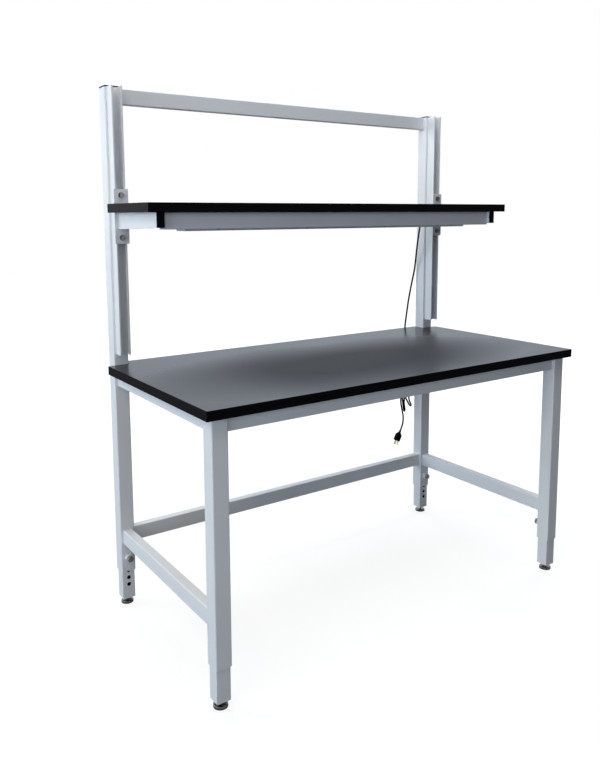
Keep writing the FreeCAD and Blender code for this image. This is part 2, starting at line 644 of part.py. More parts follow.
RAIL_SCREW_X = ["%s * shelf_screw_offset" % step for step in (-1.5, -0.5, 0.5, 1.5)]
SHELF_MIDDLE_Y = "(" + SHELF_REAR_Y + " - shelf_depth / 2)"
rail_spots = [(x, "%s - %s" % (SHELF_RAIL_Y, SHELF_MIDDLE_Y)) for x in RAIL_SCREW_X]
LIGHT_SCREW_X = ["%d * light_screw_offset" % step for step in (-1, 0, 1)]
light_spots = [(x, "%s - %s" % (LIGHT_Y, SHELF_MIDDLE_Y)) for x in LIGHT_SCREW_X]
shelf_board, shelf_band = board_and_band(
    "shelf", rectangle_corners, "shelf_thickness",
    [("screw_bite", rail_spots), ("light_screw_bite", light_spots)],
    lambda edge: outer_corner(edge, value("shelf_length / 2"), value("shelf_depth / 2")))
for piece in (shelf_board, shelf_band):
    place(piece, "0", SHELF_MIDDLE_Y, SHELF_Z)

PLATE_Z = "(" + SHELF_Z + " - plate_drop)"
BOLT_LEVELS = (PLATE_Z + " + plate_bolt_edge", PLATE_Z + " + plate_height - plate_bolt_edge")

for name, side in SIDES:
    plate = new_body("bracket_plate_" + name)
    face = sketch_on(plate, "XZ_Plane")
    rectangle(face, "plate_width", "plate_height", "0", "plate_height / 2")
    pad(plate, face, "plate_thickness")
    soften(plate, "plate_round",
           lambda edge: len(edge.Vertexes) == 2 and abs(edge.tangentAt(edge.FirstParameter).y) > 0.99)
    holes = sketch_on(plate, "XZ_Plane")
    for level in ("plate_bolt_edge", "plate_height - plate_bolt_edge"):
        circle(holes, "plate_bolt_diameter + 2 * slide_gap", "0", level)
    pocket(plate, holes, "3 * plate_thickness", both_ways=True)
    place(plate, "%d * %s" % (side, LEG_X), PLATE_FRONT_Y + " + plate_thickness", PLATE_Z)

    arm = new_body("shelf_arm_" + name)
    profile = sketch_on(arm, "YZ_Plane")
    reach = "(shelf_rear_gap + shelf_depth - arm_setback - arm_cap_thickness)"
    slope = "((arm_rear_height - arm_front_height) / (shelf_rear_gap + shelf_depth - arm_setback))"
    front_height = "(arm_front_height + %s * arm_cap_thickness)" % slope
    outline(profile, [("0", "0"), ("-" + reach, "0"), ("-" + reach, "-" + front_height),
                      ("0", "-arm_rear_height")])
    pad(arm, profile, "arm_width", both_ways=True)
    hollow = sketch_on(arm, "YZ_Plane")
    outline(hollow, [("0", "-arm_wall"), ("-" + reach, "-arm_wall"),
                     ("-" + reach, "arm_wall - " + front_height), ("0", "arm_wall - arm_rear_height")])
    pocket(arm, hollow, "arm_width - 2 * arm_wall", both_ways=True)
    place(arm, "%d * %s" % (side, LEG_X), PLATE_FRONT_Y, SHELF_Z)


def cap_of_arm(side):
    """A plastic cap with a plug inside the arm's open front end."""
    x = "%d * %s" % (side, LEG_X)
    lid = block("arm_width", "arm_cap_thickness", "arm_front_height", x,
                ARM_FRONT_Y + " + arm_cap_thickness / 2", SHELF_Z + " - arm_front_height")
    plug = block("arm_width - 2 * arm_wall - 2 * cap_gap", "arm_cap_plug_depth + arm_cap_thickness / 2",
                 "arm_front_height - 2 * arm_wall - 2 * cap_gap", x,
                 ARM_FRONT_Y + " + arm_cap_thickness * 3 / 4 + arm_cap_plug_depth / 2",
                 SHELF_Z + " - arm_front_height + arm_wall + cap_gap")
    return joined(lid, plug)


group("arm_caps", [cap_of_arm(-1), cap_of_arm(1)])

head_y = "(" + PLATE_FRONT_Y + " - plate_washer_thickness)"
nut_y = "(" + CHANNEL_FRONT_Y + " + channel_wall + slide_gap + channel_nut_thickness / 2)"
bracket_bolts = []
washers = []
clamps = []
for side in (-1, 1):
    x = "%d * %s" % (side, LEG_X)
    for z in BOLT_LEVELS:
        head = hexagon("plate_head_flats", "plate_head_height", x, head_y, z, FORWARD)
        shank_length = ("plate_head_height / 2 + plate_washer_thickness + plate_thickness + 2 * slide_gap"
                        " + channel_wall + channel_nut_thickness + plate_bolt_diameter / 4")
        shank = rod("plate_bolt_diameter", shank_length, x, head_y + " - plate_head_height / 2", z, BACKWARD)
        bracket_bolts.append(joined(head, shank))
        washer = rod("plate_washer_diameter", "plate_washer_thickness", x, PLATE_FRONT_Y, z, FORWARD)
        washers.append(cut(washer, rod("plate_bolt_diameter + 2 * thread_gap", "plate_washer_thickness",
                                       x, PLATE_FRONT_Y, z, FORWARD)))
        clamp = block("channel_nut_width", "channel_nut_thickness", "channel_nut_height", x, nut_y,
                      z + " - channel_nut_height / 2")
        clamps.append(cut(clamp, rod("plate_bolt_diameter + 2 * thread_gap", "2 * channel_nut_thickness",
                                     x, nut_y + " + channel_nut_thickness", z, FORWARD)))
group("bracket_bolts", bracket_bolts)
group("bracket_washers", washers)
group("channel_nuts", clamps)

shelf_rail = tube("shelf_front_rail", "YZ_Plane", "shelf_rail_depth", "shelf_rail_height", "rail_round",
                  "rail_wall", "2 * " + LEG_X + " - arm_width")
rail_holes = sketch_on(shelf_rail, "XY_Plane")
for x in RAIL_SCREW_X:
    circle(rail_holes, "screw_diameter + 2 * slide_gap", x, "0")
pocket(shelf_rail, rail_holes, "2 * shelf_rail_height", both_ways=True)
place(shelf_rail, "0", SHELF_RAIL_Y, SHELF_Z + " - shelf_rail_height / 2")
group("shelf_screws", [wood_screw("screw_bite", "shelf_rail_height", x, SHELF_RAIL_Y,
                                  SHELF_Z + " - shelf_rail_height") for x in RAIL_SCREW_X])

# ------------------------------------------------------------------ light

LIGHT_END_X = "(" + LEG_X + " - arm_width / 2 - light_end_gap)"
HOUSING_LENGTH = "2 * (" + LIGHT_END_X + " - light_cap_thickness)"
RELIEF_X = "(" + LIGHT_END_X + " - relief_inset)"
RELIEF_Z = "(" + SHELF_Z + " - relief_drop)"
LED_TOP_Z = "(" + SHELF_Z + " - light_wall)"

housing = new_body("light_housing")
section = sketch_on(housing, "YZ_Plane")
outer = "light_width / 2"
inner = "(light_width / 2 - light_wall)"
outline(section, [("-" + outer, "-light_housing_height"), ("-" + outer, "0"), (outer, "0"),
                  (outer, "-light_housing_height"), (inner, "-light_housing_height"),
                  (inner, "-light_wall"), ("-" + inner, "-light_wall"),
                  ("-" + inner, "-light_housing_height")])
pad(housing, section, HOUSING_LENGTH, both_ways=True)
screw_holes = sketch_on(housing, "XY_Plane")
for x in LIGHT_SCREW_X:
    circle(screw_holes, "screw_diameter + 2 * slide_gap", x, "0")
pocket(housing, screw_holes, "3 * light_wall", both_ways=True)
relief_hole = sketch_on(housing, "XZ_Plane")
circle(relief_hole, "relief_diameter + 2 * thread_gap", RELIEF_X, "-relief_drop")
pocket(housing, relief_hole, "light_width")
place(housing, "0", LIGHT_Y, SHELF_Z)

diffuser = new_body("light_diffuser")
section = sketch_on(diffuser, "YZ_Plane")
outer = "(light_width / 2 - light_wall - diffuser_gap)"
inner = "(light_width / 2 - light_wall - diffuser_gap - diffuser_wall)"
outline(section, [("-" + outer, "diffuser_overlap"), ("-" + outer, "-diffuser_drop"),
                  (outer, "-diffuser_drop"), (outer, "diffuser_overlap"), (inner, "diffuser_overlap"),
                  (inner, "diffuser_wall - diffuser_drop"), ("-" + inner, "diffuser_wall - diffuser_drop"),
                  ("-" + inner, "diffuser_overlap")])
pad(diffuser, section, HOUSING_LENGTH, both_ways=True)
soften(diffuser, "diffuser_round",
       lambda edge: edge.CenterOfMass.z < 0.01 - value("diffuser_drop")
       and abs(edge.tangentAt(edge.FirstParameter).x) > 0.99)
place(diffuser, "0", LIGHT_Y, SHELF_Z + " - light_housing_height")

END_CAP_X = "(" + LIGHT_END_X + " - light_cap_thickness / 2)"
group("light_end_caps", [
    block("light_cap_thickness", "light_width", "light_housing_height + diffuser_drop",
          "%d * %s" % (side, END_CAP_X), LIGHT_Y, SHELF_Z + " - light_housing_height - diffuser_drop")
    for side in (-1, 1)])

led_board = block(HOUSING_LENGTH + " - 2 * led_board_margin", "led_board_width", "led_board_thickness", "0",
                  LIGHT_Y + " - led_board_width / 2 - screw_head_diameter / 2 - screw_clearance",
                  LED_TOP_Z + " - led_board_thickness")
keep(led_board, "led_board")
driver = block("driver_length", "driver_width", "driver_height", RELIEF_X + " - driver_length",
               LIGHT_Y + " + screw_head_diameter / 2 + screw_clearance + driver_width / 2",
               LED_TOP_Z + " - driver_height")
keep(driver, "led_driver")
group("light_screws", [wood_screw("light_screw_bite", "light_wall", x, LIGHT_Y, LED_TOP_Z)
                       for x in LIGHT_SCREW_X])

flange = rod("relief_flange", "relief_flange_thickness", RELIEF_X, LIGHT_BACK_Y, RELIEF_Z, BACKWARD)
neck = rod("relief_diameter", "3 * light_wall + relief_flange_thickness / 2", RELIEF_X,
           LIGHT_BACK_Y + " - 3 * light_wall", RELIEF_Z, BACKWARD)
taper = doc.addObject("Part::Cone", "taper")
taper.setExpression("Radius1", sized("relief_diameter / 2"))
taper.setExpression("Radius2", sized("cord_diameter / 2 + relief_tip_wall"))
taper.setExpression("Height", sized("relief_length - relief_flange_thickness / 2"))
place(taper, RELIEF_X, LIGHT_BACK_Y + " + relief_flange_thickness / 2", RELIEF_Z, BACKWARD)
keep(joined(flange, neck, taper), "strain_relief")

# ------------------------------------------------------------- mains cord

# The cord hangs from the shelf, so its places are measured from the strain relief's tip.
CORD_X = RELIEF_X
CORD_Y = "(" + LIGHT_BACK_Y + " + relief_length)"
CORD_Z = RELIEF_Z
CORD_START = Vector(value(CORD_X), value(CORD_Y), value(CORD_Z))

# The cord from the strain relief back under the shelf, through its clip and down
# behind the worktop's rear edge to the folded part.
CORD_ROUTE = [
    Vector(0, 0, 0),
    Vector(1, 35, 1),
    Vector(15, 78, 10),
    Vector(39, 113, 20),
    Vector(59, 145, 20),
    Vector(73, 179, 5),
    Vector(81, 200, -30),
    Vector(84, 213, -78),
    Vector(89, 229, -143),
    Vector(105, 254, -220),
    Vector(97, 266, -291),
    Vector(82, 268, -362),
    Vector(72, 268, -422),
    Vector(63, 269, -482),
    Vector(63, 270, -548),
    Vector(71, 271, -626),
    Vector(86, 268, -700),
]
# The short end below the folded part, down to the plug.
TAIL_ROUTE = [
    Vector(57, 272.5, -880),
    Vector(64.5, 273, -900),
    Vector(63.5, 272.5, -924),
    Vector(55.5, 272, -946),
    Vector(47, 272, -962),
]


def by_cord(piece, spot, rotation=None):
    """Put a piece at a place measured from the strain relief's tip."""
    return place(piece, "%s + %s" % (CORD_X, spot.x), "%s + %s" % (CORD_Y, spot.y),
                 "%s + %s" % (CORD_Z, spot.z), rotation)


def smooth_path(points):
    """Straight runs joined by tangent arcs, each as large as its two runs allow."""
    edges = []
    radii = []
    here = points[0]
    for before, corner, after in zip(points, points[1:], points[2:]):
        incoming = (corner - before).normalize()
        outgoing = (after - corner).normalize()
        half_turn = incoming.getAngle(outgoing) / 2
        reach = 0.45 * min((corner - before).Length, (after - corner).Length)
        radius = reach / math.tan(half_turn)
        start = corner - incoming * reach
        end = corner + outgoing * reach
        inwards = (outgoing - incoming).normalize()
        middle = corner + inwards * (radius / math.cos(half_turn) - radius)
        edges.append(Part.LineSegment(here, start).toShape())
        edges.append(Part.Arc(start, middle, end).toShape())
        radii.append(round(radius, 1))
        here = end
    edges.append(Part.LineSegment(here, points[-1]).toShape())
    return Part.Wire(edges), radii


def cord_tube(label, route):
    """A round cord along a route; its volume must be its section times its length."""
    points = [CORD_START + step for step in route]
    path, radii = smooth_path(points)
    radius = value("cord_diameter / 2")
    ring = Part.Wire([Part.Circle(points[0], points[1] - points[0], radius).toShape()])
    shape = path.makePipeShell([ring], True, False)
    expected = math.pi * radius ** 2 * path.Length
    if abs(shape.Volume - expected) > 0.01 * expected:
        raise RuntimeError("%s has the wrong volume" % label)
    feature = doc.addObject("Part::Feature", label)
    feature.Shape = shape
    feature.Placement = FreeCAD.Placement()
    print("%s: length %.1f mm, radii %s" % (label, path.Length, radii))
    return keep(feature, label)


cord_tube("light_cord", CORD_ROUTE)
cord_tube("cord_tail", TAIL_ROUTE)

# The clip sits half way along the level run under the shelf.
clip_run = CORD_ROUTE[4] - CORD_ROUTE[3]
clip_spot = (CORD_ROUTE[3] + CORD_ROUTE[4]) / 2
clip_angle = math.degrees(math.atan2(clip_run.y, clip_run.x))
clip = new_body("cord_clip")
section = sketch_on(clip, "YZ_Plane")
clip_top = "(relief_drop - %s)" % clip_spot.z
clip_low = "(cord_diameter / 2 + clip_gap + clip_wall)"
outline(section, [("-clip_width / 2", "-" + clip_low), ("clip_width / 2", "-" + clip_low),
                  ("clip_width / 2", clip_top), ("-clip_width / 2", clip_top)])
circle(section, "cord_diameter + 2 * clip_gap")
pad(clip, section, "clip_length", both_ways=True)
by_cord(clip, clip_spot, Rotation(Vector(0, 0, 1), clip_angle))

# The folded cord: narrow where it is tied, and fanned out at its lower folds.
HANK_DEPTH = 274.0
HANK_OUTLINE = [(50.5, -700), (91, -700), (91, -812), (105, -832), (116, -846), (116, -857), (101, -862),
                (72, -838), (72, -880), (51, -880), (42, -850), (39.5, -830), (39.5, -800), (50.5, -755)]
hank = new_body("cord_hank")
face = sketch_on(hank, "XZ_Plane")
outline(face, [(str(float(x)), str(float(z))) for x, z in HANK_OUTLINE])
pad(hank, face, "hank_thickness", both_ways=True)
by_cord(hank, Vector(0, HANK_DEPTH, 0))

TIE_SPOT = Vector(70.75, HANK_DEPTH, -742)
TIE_SPAN = "41.1"
tie = new_body("hank_tie")
ring = sketch_on(tie, "XY_Plane")
rectangle(ring, TIE_SPAN + " + 2 * tie_thickness", "hank_thickness + 2 * slide_gap + 2 * tie_thickness")
rectangle(ring, TIE_SPAN, "hank_thickness + 2 * slide_gap")
pad(tie, ring, "tie_height")
by_cord(tie, TIE_SPOT)

# The plug hangs in line with the cord's last run.
PLUG_TOP = TAIL_ROUTE[-1]
PLUG_LEAN = math.degrees(math.atan2(TAIL_ROUTE[-2].x - PLUG_TOP.x, TAIL_ROUTE[-2].z - PLUG_TOP.z))
PLUG_TURN = Rotation(Vector(0, 1, 0), PLUG_LEAN)

plug = new_body("plug_body")
section = sketch_on(plug, "XY_Plane", "-plug_neck_length - plug_shoulder - plug_length")
rounded_rectangle(section, "plug_width", "plug_depth", "plug_round")
pad(plug, section, "plug_length")
shoulder_low = sketch_on(plug, "XY_Plane", "-plug_neck_length - plug_shoulder")
rounded_rectangle(shoulder_low, "plug_width", "plug_depth", "plug_round")
shoulder_top = sketch_on(plug, "XY_Plane", "-plug_neck_length")
rounded_rectangle(shoulder_top, "plug_shoulder_top", "plug_shoulder_top", "plug_round")
loft = plug.newObject("PartDesign::AdditiveLoft", "plug_shoulder_loft")
loft.Profile = shoulder_low
loft.Sections = [shoulder_top]
doc.recompute()
neck = sketch_on(plug, "XY_Plane", "-plug_neck_length")
circle(neck, "plug_neck_diameter")
pad(plug, neck, "plug_neck_length")
by_cord(plug, PLUG_TOP, PLUG_TURN)

BLADE_TOP = value("plug_neck_length + plug_shoulder + plug_length")


def on_plug(piece, x, y, z):
    """Turn a piece with the plug, from its place in the plug's own frame."""
    spot = CORD_START + PLUG_TOP + PLUG_TURN.multVec(Vector(x, y, z))
    piece.Placement = FreeCAD.Placement(spot, PLUG_TURN)
    return piece


def blade(side):
    piece = doc.addObject("Part::Box", "blade")
    piece.setExpression("Length", sized("blade_thickness"))
    piece.setExpression("Width", sized("blade_width"))
    piece.setExpression("Height", sized("blade_length"))
    x = side * value("blade_spacing / 2") - value("blade_thickness / 2")
    y = -value("blade_offset + blade_width / 2")
    return on_plug(piece, x, y, -BLADE_TOP - value("blade_length"))


ground_pin = doc.addObject("Part::Cylinder", "ground_pin")
ground_pin.setExpression("Radius", sized("ground_pin_diameter / 2"))
ground_pin.setExpression("Height", sized("ground_pin_length"))
on_plug(ground_pin, 0, value("ground_pin_offset - blade_offset"), -BLADE_TOP - value("ground_pin_length"))
group("plug_prongs", [blade(-1), blade(1), ground_pin])

# ---------------------------------------------------------- checks and export

doc.recompute()
for item in doc.Objects:
    if "Invalid" in item.State or "Error" in item.State:
        raise RuntimeError("%s did not compute: %s" % (item.Label, item.State))
os.makedirs("parts", exist_ok=True)
for piece in subparts:
    shape = piece.Shape
    if shape.isNull() or not shape.isValid():
        raise RuntimeError("%s has no valid shape" % piece.Label)
    shape.exportStep(os.path.join("parts", piece.Label + ".step"))
    print("%-26s solids %2d  volume %.0f" % (piece.Label, len(shape.Solids), shape.Volume))
print("%d sub-parts" % len(subparts))
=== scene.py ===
import json
import math

import bmesh
import bpy
from mathutils import Matrix, Vector


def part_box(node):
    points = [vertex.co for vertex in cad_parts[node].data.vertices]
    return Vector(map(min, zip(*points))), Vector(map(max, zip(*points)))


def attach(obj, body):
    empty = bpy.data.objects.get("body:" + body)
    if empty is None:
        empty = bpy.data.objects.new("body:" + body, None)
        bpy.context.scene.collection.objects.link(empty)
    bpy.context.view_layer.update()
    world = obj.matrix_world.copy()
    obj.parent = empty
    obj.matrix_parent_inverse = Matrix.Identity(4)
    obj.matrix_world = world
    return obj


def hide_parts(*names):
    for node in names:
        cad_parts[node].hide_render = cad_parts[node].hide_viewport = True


# The looks of a laboratory bench with a reagent shelf.  Everything is in metres, in
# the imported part's own frame: X runs left to right, Y front to back, Z up.

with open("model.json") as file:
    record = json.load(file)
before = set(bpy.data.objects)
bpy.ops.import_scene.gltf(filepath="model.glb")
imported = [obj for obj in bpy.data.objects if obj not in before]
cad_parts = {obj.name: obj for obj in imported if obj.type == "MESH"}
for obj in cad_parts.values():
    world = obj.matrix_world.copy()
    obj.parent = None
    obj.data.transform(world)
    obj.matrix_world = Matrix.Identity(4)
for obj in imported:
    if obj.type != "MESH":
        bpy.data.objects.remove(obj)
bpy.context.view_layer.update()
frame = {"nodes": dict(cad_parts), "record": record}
nodes = frame["nodes"]


def put(name, data):
    """A new object that holds the data, linked to the scene."""
    obj = bpy.data.objects.new(name, data)
    bpy.context.scene.collection.objects.link(obj)
    return obj


# ----------------------------------------------------------------- camera

CAMERA_SPOT = Vector((-1.6152, -2.0420, 1.3650))
CAMERA_YAW = -34.45         # degrees, turned to the right of straight on
CAMERA_PITCH = -7.35        # degrees, below the horizon
CAMERA_ROLL = -0.26         # degrees
CAMERA_SENSOR = 36.0        # mm, along the picture's longer side
CAMERA_LENS = 34.98         # mm
CAMERA_SHIFT = (0.0029, -0.0924)
CAMERA_CLIP = (0.05, 60.0)


def make_camera():
    data = bpy.data.cameras.new("camera")
    data.lens = CAMERA_LENS
    data.sensor_width = CAMERA_SENSOR
    data.shift_x, data.shift_y = CAMERA_SHIFT
    data.clip_start, data.clip_end = CAMERA_CLIP
    camera = put("camera", data)
    camera.matrix_world = (Matrix.Translation(CAMERA_SPOT)
                           @ Matrix.Rotation(math.radians(CAMERA_YAW), 4, "Z")
                           @ Matrix.Rotation(math.radians(90 + CAMERA_PITCH), 4, "X")
                           @ Matrix.Rotation(math.radians(CAMERA_ROLL), 4, "Z"))
    bpy.context.scene.camera = camera


make_camera()


# ------------------------------------------------------------------- cord

CORD_DIAMETER = 0.0075

# Points measured from the strain relief's tip: along under the shelf, through the
# clip and down behind the worktop.
CORD_ROUTE = [
    (0, 0, 0), (0.001, 0.035, 0.001), (0.015, 0.078, 0.01), (0.039, 0.113, 0.02),
    (0.059, 0.145, 0.02), (0.073, 0.179, 0.005), (0.081, 0.2, -0.03), (0.084, 0.213, -0.078),
    (0.089, 0.229, -0.143), (0.105, 0.254, -0.22), (0.097, 0.266, -0.291), (0.082, 0.268, -0.362),
    (0.072, 0.268, -0.422), (0.063, 0.269, -0.482), (0.063, 0.27, -0.548), (0.071, 0.271, -0.626),
    (0.085, 0.267, -0.7),
]
# The folded length: down into the small loop that leans out, up, and down and up again
# beside it, each fold going from the front layer to the back one.  The front layer clears
# the worktop's back edge as the shelf takes the cord past it.
CORD_FOLDS = [
    (0.087, 0.2655, -0.742), (0.0865, 0.2625, -0.778), (0.0865, 0.262, -0.803),
    (0.0885, 0.262, -0.82), (0.094, 0.2615, -0.834), (0.0995, 0.258, -0.8452),
    (0.103, 0.2653, -0.853), (0.1055, 0.2757, -0.853), (0.1045, 0.2833, -0.845),
    (0.098, 0.2835, -0.833), (0.089, 0.283, -0.82), (0.084, 0.2815, -0.802), (0.083, 0.282, -0.778),
    (0.0825, 0.282, -0.752), (0.0817, 0.283, -0.736), (0.0807, 0.283, -0.7235),
    (0.0785, 0.277, -0.716), (0.0755, 0.267, -0.716), (0.0733, 0.2608, -0.7235),
    (0.0725, 0.261, -0.736), (0.0715, 0.264, -0.752), (0.067, 0.2625, -0.776),
    (0.0615, 0.2625, -0.804), (0.0585, 0.2625, -0.828), (0.0575, 0.259, -0.843),
    (0.0565, 0.254, -0.856), (0.0585, 0.257, -0.867), (0.064, 0.265, -0.872),
    (0.0695, 0.2745, -0.87), (0.0735, 0.282, -0.86), (0.0715, 0.283, -0.844),
    (0.0655, 0.282, -0.806), (0.065, 0.282, -0.778), (0.0655, 0.282, -0.752),
    (0.0652, 0.283, -0.736), (0.0645, 0.283, -0.7235), (0.0625, 0.277, -0.716),
    (0.0595, 0.267, -0.716), (0.0575, 0.2608, -0.7235), (0.057, 0.261, -0.736),
    (0.0555, 0.264, -0.752), (0.049, 0.265, -0.774), (0.041, 0.265, -0.804), (0.042, 0.266, -0.826),
    (0.048, 0.268, -0.848),
]
# The short end below the folds, down into the plug's neck.
CORD_TAIL = [
    (0.0555, 0.271, -0.866), (0.0615, 0.273, -0.883), (0.065, 0.273, -0.902),
    (0.0635, 0.2725, -0.926), (0.0555, 0.272, -0.946), (0.047, 0.272, -0.962),
]


def cord_exit():
    """The middle of the strain relief's tip."""
    low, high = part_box("strain_relief")
    return Vector(((low.x + high.x) / 2, high.y, (low.z + high.z) / 2))


def make_cord():
    start = cord_exit()
    points = CORD_ROUTE + CORD_FOLDS + CORD_TAIL
    data = bpy.data.curves.new("mains_cord", "CURVE")
    data.dimensions = "3D"
    # The points' radius carries the whole thickness: a curve's box reaches out by that radius.
    data.bevel_depth = 1.0
    data.bevel_resolution = 4
    data.resolution_u = 10
    spline = data.splines.new("NURBS")
    spline.points.add(len(points) - 1)
    for point, step in zip(spline.points, points):
        point.co = (*(start + Vector(step)), 1.0)
        point.radius = CORD_DIAMETER / 2
    spline.order_u = 3
    spline.use_endpoint_u = True
    cord = put("mains_cord", data)
    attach(cord, "shelf")
    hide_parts("light_cord", "cord_hank", "cord_tail")
    return cord


cord = make_cord()


# ------------------------------------------------------------ node helpers

def feed(tree, source, socket):
    """Set a socket to a number or a colour, or link it to another node's output."""
    if isinstance(source, (int, float)):
        socket.default_value = source
    elif isinstance(source, tuple):
        socket.default_value = (*source, 1.0)
    else:
        tree.links.new(source, socket)


def blend_colors(tree, factor, first, second):
    mix = tree.nodes.new("ShaderNodeMix")
    mix.data_type = "RGBA"
    sockets = [socket for socket in mix.inputs if socket.enabled]
    for source, socket in zip((factor, first, second), sockets):
        feed(tree, source, socket)
    return [socket for socket in mix.outputs if socket.enabled][0]


def smooth_step(tree, source, low, high):
    """0 up to the low value, 1 from the high one, and smooth between them."""
    step = tree.nodes.new("ShaderNodeMapRange")
    step.interpolation_type = "SMOOTHSTEP"
    step.inputs["From Min"].default_value = low
    step.inputs["From Max"].default_value = high
    tree.links.new(source, step.inputs["Value"])
    return step.outputs["Result"]


def toward(tree, way, direction):
    """How well a way agrees with a direction, from -1 to 1."""
    dot = tree.nodes.new("ShaderNodeVectorMath")
    dot.operation = "DOT_PRODUCT"
    dot.inputs[1].default_value = Vector(direction).normalized()
    tree.links.new(way, dot.inputs[0])
    return dot.outputs["Value"]


class Shader:
    """A Principled material whose colour, roughness and bump come from nodes."""

    def __init__(self, name):
        self.material = bpy.data.materials.new(name)
        self.material.use_nodes = True
        self.tree = self.material.node_tree
        self.principled = self.tree.nodes["Principled BSDF"]
        self.place = self.add("ShaderNodeTexCoord").outputs["Object"]

    def add(self, kind, **settings):
        node = self.tree.nodes.new(kind)
        for key, setting in settings.items():
            setattr(node, key, setting)
        return node

    def wire(self, source, target):
        self.tree.links.new(source, target)

    def set(self, **sockets):
        for key, setting in sockets.items():
            self.principled.inputs[key.replace("_", " ")].default_value = setting

    def mapped(self, **settings):
        """The place on the object after a mapping."""
        mapping = self.add("ShaderNodeMapping")
        for key, setting in settings.items():
            mapping.inputs[key].default_value = setting
        self.wire(self.place, mapping.inputs["Vector"])
        return mapping.outputs["Vector"]

    def noise(self, scale, detail=3.0, roughness=0.5, stretch=None):
        texture = self.add("ShaderNodeTexNoise")
        texture.inputs["Scale"].default_value = scale
        texture.inputs["Detail"].default_value = detail
        texture.inputs["Roughness"].default_value = roughness
        place = self.mapped(Scale=stretch) if stretch else self.place
        self.wire(place, texture.inputs["Vector"])
        return texture.outputs["Fac"]

    def ramp(self, factor, first, second):
        """Blend two colours, each given with its position from 0 to 1."""
        ramp = self.add("ShaderNodeValToRGB")
        for element, (position, color) in zip(ramp.color_ramp.elements, (first, second)):
            element.position = position
            element.color = (*color, 1.0)
        self.wire(factor, ramp.inputs["Fac"])
        return ramp.outputs["Color"]

    def span(self, factor, low, high, from_low=0.3, from_high=0.7):
        """Stretch a factor to run from low to high."""
        node = self.add("ShaderNodeMapRange")
        node.inputs["From Min"].default_value = from_low
        node.inputs["From Max"].default_value = from_high
        node.inputs["To Min"].default_value = low
        node.inputs["To Max"].default_value = high
        self.wire(factor, node.inputs["Value"])
        return node.outputs["Result"]

    def math(self, operation, *sources):
        node = self.add("ShaderNodeMath", operation=operation)
        for source, socket in zip(sources, node.inputs):
            feed(self.tree, source, socket)
        return node.outputs["Value"]

    def apart(self, first, second):
        """How far one value is from another."""
        return self.math("ABSOLUTE", self.math("SUBTRACT", first, second))

    def inside_tube(self, spots, half):
        """1 inside square tubes that stand at x on both sides and at either y, else 0."""
        x_mid, y_front, y_back = spots
        split = self.add("ShaderNodeSeparateXYZ")
        self.wire(self.place, split.inputs["Vector"])
        x = self.apart(self.math("ABSOLUTE", split.outputs["X"]), x_mid)
        front = self.apart(split.outputs["Y"], y_front)
        back = self.apart(split.outputs["Y"], y_back)
        away = self.math("MAXIMUM", x, self.math("MINIMUM", front, back))
        return self.math("LESS_THAN", away, half)

    def bump(self, height, strength, distance, under=None):
        node = self.add("ShaderNodeBump")
        node.inputs["Strength"].default_value = strength
        node.inputs["Distance"].default_value = distance
        self.wire(height, node.inputs["Height"])
        if under:
            self.wire(under, node.inputs["Normal"])
        return node.outputs["Normal"]

    def finish(self, color, roughness, normal=None):
        self.wire(color, self.principled.inputs["Base Color"])
        self.wire(roughness, self.principled.inputs["Roughness"])
        if normal is not None:
            self.wire(normal, self.principled.inputs["Normal"])
        return self.material


# -------------------------------------------------------------- materials

def middle(node):
    low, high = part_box(node)
    return (low + high) / 2


# The inner legs' middles: x on both sides, and y in front and at the rear.
INNER_LEG_SPOTS = (middle("inner_leg_rear_right").x, middle("inner_leg_front_left").y,
                   middle("inner_leg_rear_left").y)
INNER_LEG_BORE = 0.0215     # from the tube's middle to just short of its outer face

WHITE_COAT = ((0.83, 0.835, 0.84), (0.80, 0.81, 0.82))
# Inside the inner legs: bare steel, darkened to near-black as painted shade deep in the tube.
BARE_STEEL_IN_SHADE = ((0.035, 0.034, 0.032), (0.060, 0.058, 0.055))

# The worktop's worn pool, a ball about the board's middle, as a mapping's shift and scale.
WORN_SHIFT = (0.05, 0.21, -1.73)
WORN_SCALE = (1.2, 2.6, 2.0)


def powder_coat(name, pale, dusk, shaded_bare_inside=False):
    """White powder coat with a fine orange peel; the inner legs' tubes are bare steel inside,
    painted near-black as painted shade deep in the tube.
    """
    s = Shader(name)
    color = s.ramp(s.noise(3.0, 4.0), (0.35, dusk), (0.65, pale))
    if shaded_bare_inside:
        # Painted shade: the tubes' insides are bare steel made near-black, standing in for the
        # shade inside a tube.
        dark, light = BARE_STEEL_IN_SHADE
        bare_steel_in_shade = s.ramp(s.noise(40.0), (0.3, dark), (0.7, light))
        inside = s.inside_tube(INNER_LEG_SPOTS, INNER_LEG_BORE)
        color = blend_colors(s.tree, inside, color, bare_steel_in_shade)
    peel = s.bump(s.noise(420.0, 2.0), 0.18, 0.0004)
    grain = s.bump(s.noise(900.0, 2.0), 0.10, 0.0002, under=peel)
    rough = s.span(s.noise(14.0, 3.0), 0.36, 0.50)
    return s.finish(color, rough, grain)


def laminate(name):
    """Black laminate with a fine pebbled texture; wiping has left its middle less glossy."""
    s = Shader(name)
    speck = s.noise(700.0, 4.0, 0.6)
    color = s.ramp(speck, (0.30, (0.010, 0.010, 0.012)), (0.70, (0.020, 0.021, 0.024)))
    ball = s.add("ShaderNodeTexGradient", gradient_type="SPHERICAL")
    s.wire(s.mapped(Location=WORN_SHIFT, Scale=WORN_SCALE), ball.inputs["Vector"])
    uneven = s.math("MULTIPLY", s.noise(2.2, 1.0, 0.3), 0.35)
    rough = s.span(s.math("ADD", ball.outputs["Fac"], uneven), 0.27, 0.60, 0.20, 0.85)
    s.set(Specular_IOR_Level=0.34)
    return s.finish(color, rough, s.bump(speck, 0.25, 0.0002))


